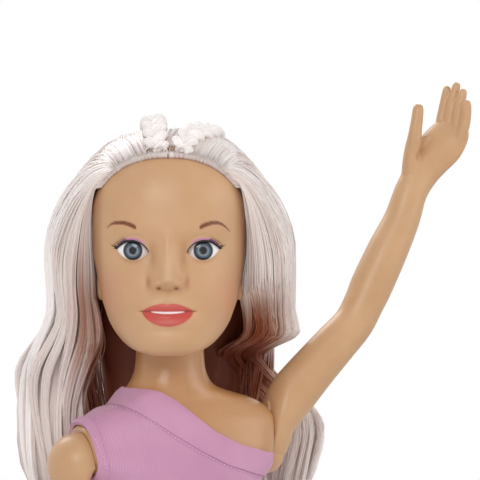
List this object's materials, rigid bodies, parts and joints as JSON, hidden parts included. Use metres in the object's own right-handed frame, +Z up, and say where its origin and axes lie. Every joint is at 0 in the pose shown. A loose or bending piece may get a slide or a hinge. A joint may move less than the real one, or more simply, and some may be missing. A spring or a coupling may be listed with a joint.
{
  "type": "walking doll",
  "caption": "Tall hand-led walking doll with rooted long hair, inset eyes, a one-shoulder knit dress, swinging legs, a turning head and arms that turn at the shoulder.",
  "frame": {"origin": "on the floor, at the middle of the underside of the object's box", "axes": "+Z up, -Y to the front of the chest, +X to the doll's left; the head is turned towards the doll's right"},
  "size_m": [0.437, 0.2064, 0.8358],
  "materials": {
    "skin": "tan vinyl with a soft sheen",
    "hair": "pale silvery pink fibres",
    "eye": "glossy grey-blue",
    "knit": "orchid pink jersey knit",
    "tape": "pale woven tape",
    "inner_plastic": "natural white moulded plastic",
    "steel": "plain drawn steel",
    "washer_rubber": "matt dark rubber",
    "shoe_vinyl": "soft pearl white vinyl",
    "sole_rubber": "matt off-white"
  },
  "bodies": {
    "torso": {"torso_front": "skin", "torso_back": "skin", "torso_screw_1": "steel", "torso_screw_2": "steel", "torso_screw_3": "steel", "torso_screw_4": "steel", "neck_bush": "inner_plastic", "shaft_bracket": "inner_plastic", "hip_axle": "steel", "left_axle_nut": "steel", "right_axle_nut": "steel", "bodice": "knit", "neckline_band": "knit", "skirt": "knit", "back_fastener": "tape"},
    "neck_shaft": {"head_shaft": "steel", "walker_yoke": "inner_plastic", "yoke_pin": "steel", "shaft_collar": "steel", "neck_knob": "inner_plastic", "knob_clip": "steel"},
    "head": {"head_shell": "skin", "left_eye": "eye", "right_eye": "eye", "hair_crown": "hair", "left_braid": "hair", "right_braid": "hair", "hair_left_fall": "hair", "hair_right_fall": "hair", "hair_back_fall": "hair"},
    "left_leg": {"left_leg": "skin", "left_hip_hub": "inner_plastic", "left_drive_pin": "steel", "left_hip_cap": "skin", "left_shoe": "shoe_vinyl", "left_sole": "sole_rubber", "left_shoe_strap": "shoe_vinyl"},
    "right_leg": {"right_leg": "skin", "right_hip_hub": "inner_plastic", "right_drive_pin": "steel", "right_hip_cap": "skin", "right_shoe": "shoe_vinyl", "right_sole": "sole_rubber", "right_shoe_strap": "shoe_vinyl"},
    "left_arm": {"left_arm": "skin", "left_shoulder_plug": "inner_plastic", "left_shoulder_washer": "washer_rubber"},
    "right_arm": {"right_arm": "skin", "right_shoulder_plug": "inner_plastic", "right_shoulder_washer": "washer_rubber"}
  },
  "joints": [
    {"name": "left_leg_swing", "type": "hinge", "parent": "torso", "child": "left_leg", "pos_m": [-0.04149, -0.0166, 0.372], "axis": [1, 0, 0], "range_deg": [-20, 20]},
    {"name": "right_leg_swing", "type": "hinge", "parent": "torso", "child": "right_leg", "pos_m": [-0.04149, -0.0166, 0.372], "axis": [1, 0, 0], "range_deg": [-20, 20]},
    {"name": "neck_shaft_turn", "type": "hinge", "parent": "torso", "child": "neck_shaft", "pos_m": [-0.04149, -0.0166, 0.5], "axis": [0, 0, 1], "range_deg": [-20, 20]},
    {"name": "head_swivel", "type": "hinge", "parent": "neck_shaft", "child": "head", "pos_m": [-0.04149, -0.0166, 0.64], "axis": [0, 0, 1], "range_deg": [-20, 70], "deforming": ["hair_left_fall", "hair_right_fall", "hair_back_fall"]},
    {"name": "left_arm_turn", "type": "hinge", "parent": "torso", "child": "left_arm", "pos_m": [0.03351, -0.0216, 0.54], "axis": [-0.9903, 0, 0.1392], "continuous": true},
    {"name": "right_arm_turn", "type": "hinge", "parent": "torso", "child": "right_arm", "pos_m": [-0.11649, -0.0216, 0.54], "axis": [-0.9903, 0, -0.1392], "continuous": true}
  ],
  "couplings": [
    {"joint": "right_leg_swing", "follows": "left_leg_swing", "ratio": -1},
    {"joint": "neck_shaft_turn", "follows": "left_leg_swing", "ratio": -1}
  ]
}
